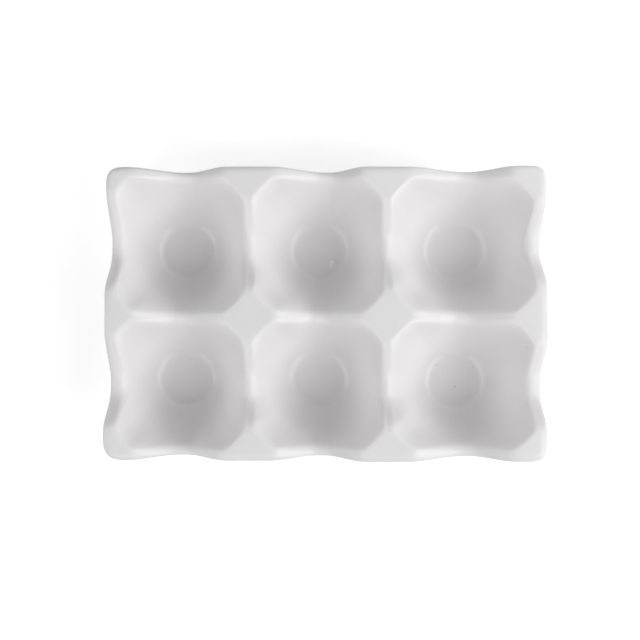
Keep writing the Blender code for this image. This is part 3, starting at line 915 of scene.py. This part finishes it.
# %% Softboxes
LAMP_SPREAD = 0.5             # width of a softbox for each metre that it stands away
LAMPS = (   # name, azimuth from +X, elevation, distance, strength
    ("key", 330.0, 35.0, 1.0, 0.23),
    ("key_high", 330.0, 50.0, 1.0, 0.20),
    ("key_low", 330.0, 20.0, 1.0, 0.11),
    ("right", 0.0, 35.0, 1.0, 0.15),
    ("front_high", 240.0, 50.0, 1.0, 0.15),
    ("left_front", 210.0, 35.0, 1.0, 0.10),
    ("left_low", 180.0, 20.0, 1.0, 0.18),
    ("left_near", 180.0, 35.0, 0.4, 0.07),
    ("back_near", 60.0, 20.0, 0.4, 0.17),
    ("back_near_high", 60.0, 50.0, 0.4, 0.08),
)
WORLD_LEVEL = 0.04
for name, azimuth, elevation, away, strength in LAMPS:
    lamp = bpy.data.lights.new(name, "AREA")
    lamp.shape = "DISK"
    lamp.size = LAMP_SPREAD * away
    lamp.energy = strength * (math.pi * away) ** 2
    softbox = bpy.data.objects.new(name, lamp)
    flat = math.cos(math.radians(elevation))
    softbox.location = away * Vector((
        flat * math.cos(math.radians(azimuth)), flat * math.sin(math.radians(azimuth)),
        math.sin(math.radians(elevation))))
    softbox.rotation_euler = (-softbox.location).to_track_quat("-Z", "Y").to_euler()
    bpy.context.scene.collection.objects.link(softbox)


def background_seen(tree):
    """1 where a ray comes from the lens or from a reflection, and 0 where it lights the tray."""
    rays = tree.nodes.new("ShaderNodeLightPath")
    seen = Formula(tree, rays.outputs["Is Camera Ray"])
    for kind in ("Is Glossy Ray", "Is Transmission Ray"):
        seen = larger(seen, Formula(tree, rays.outputs[kind]))
    return seen


world = bpy.data.worlds.new("studio")
bpy.context.scene.world = world
world.use_nodes = True
sky = world.node_tree.nodes["Background"]
sky.inputs["Color"].default_value = (1.0, 1.0, 1.0, 1.0)
level = add_node(world.node_tree, "ShaderNodeMapRange", Value=background_seen(world.node_tree),
                 To_Min=WORLD_LEVEL, To_Max=1.0)
world.node_tree.links.new(level.outputs[0], sky.inputs["Strength"])
print(len(LAMPS), "softboxes and a sky of", WORLD_LEVEL)

# %% [markdown]
# ## White card on the table
#
# The tray was photographed on white. A card could be lit until it burns out, but the glaze would
# burn out with it. This card is pale and matt in the same plain light as the tray. Only a ray from
# the lens, or from a reflection, sees a little glow added to it, so that it looks white while the
# soft shadow under the rim stays.

# %% The card
CARD_HALF = 0.65
CARD_LIGHT = (0.86, 0.86, 0.86, 1.0)
CARD_DARK = (0.83, 0.83, 0.83, 1.0)
CARD_GLOW = 0.55
card_mesh = bpy.data.meshes.new("card")
card_mesh.from_pydata([(x * CARD_HALF, y * CARD_HALF, 0.0) for x, y in
                       ((-1, -1), (1, -1), (1, 1), (-1, 1))], [], [(0, 1, 2, 3)])
card = bpy.data.objects.new("card", card_mesh)
bpy.context.scene.collection.objects.link(card)

matt = bpy.data.materials.new("white_card")
matt.use_nodes = True
card_mesh.materials.append(matt)
tree = matt.node_tree
shader = tree.nodes["Principled BSDF"]
fibres = add_node(tree, "ShaderNodeTexNoise", Scale=300.0,
                  Vector=tree.nodes.new("ShaderNodeTexCoord").outputs["Object"])
tree.links.new(tinted(tree, CARD_LIGHT, CARD_DARK, fibres.outputs[0]), shader.inputs["Base Color"])
shader.inputs["Roughness"].default_value = 0.9
shader.inputs["Specular IOR Level"].default_value = 0.0
shader.inputs["Emission Color"].default_value = (1.0, 1.0, 1.0, 1.0)
tree.links.new((background_seen(tree) * CARD_GLOW).socket, shader.inputs["Emission Strength"])
bpy.context.scene.view_settings.view_transform = "Standard"
print("card", 2 * CARD_HALF, "m wide, glow", CARD_GLOW)
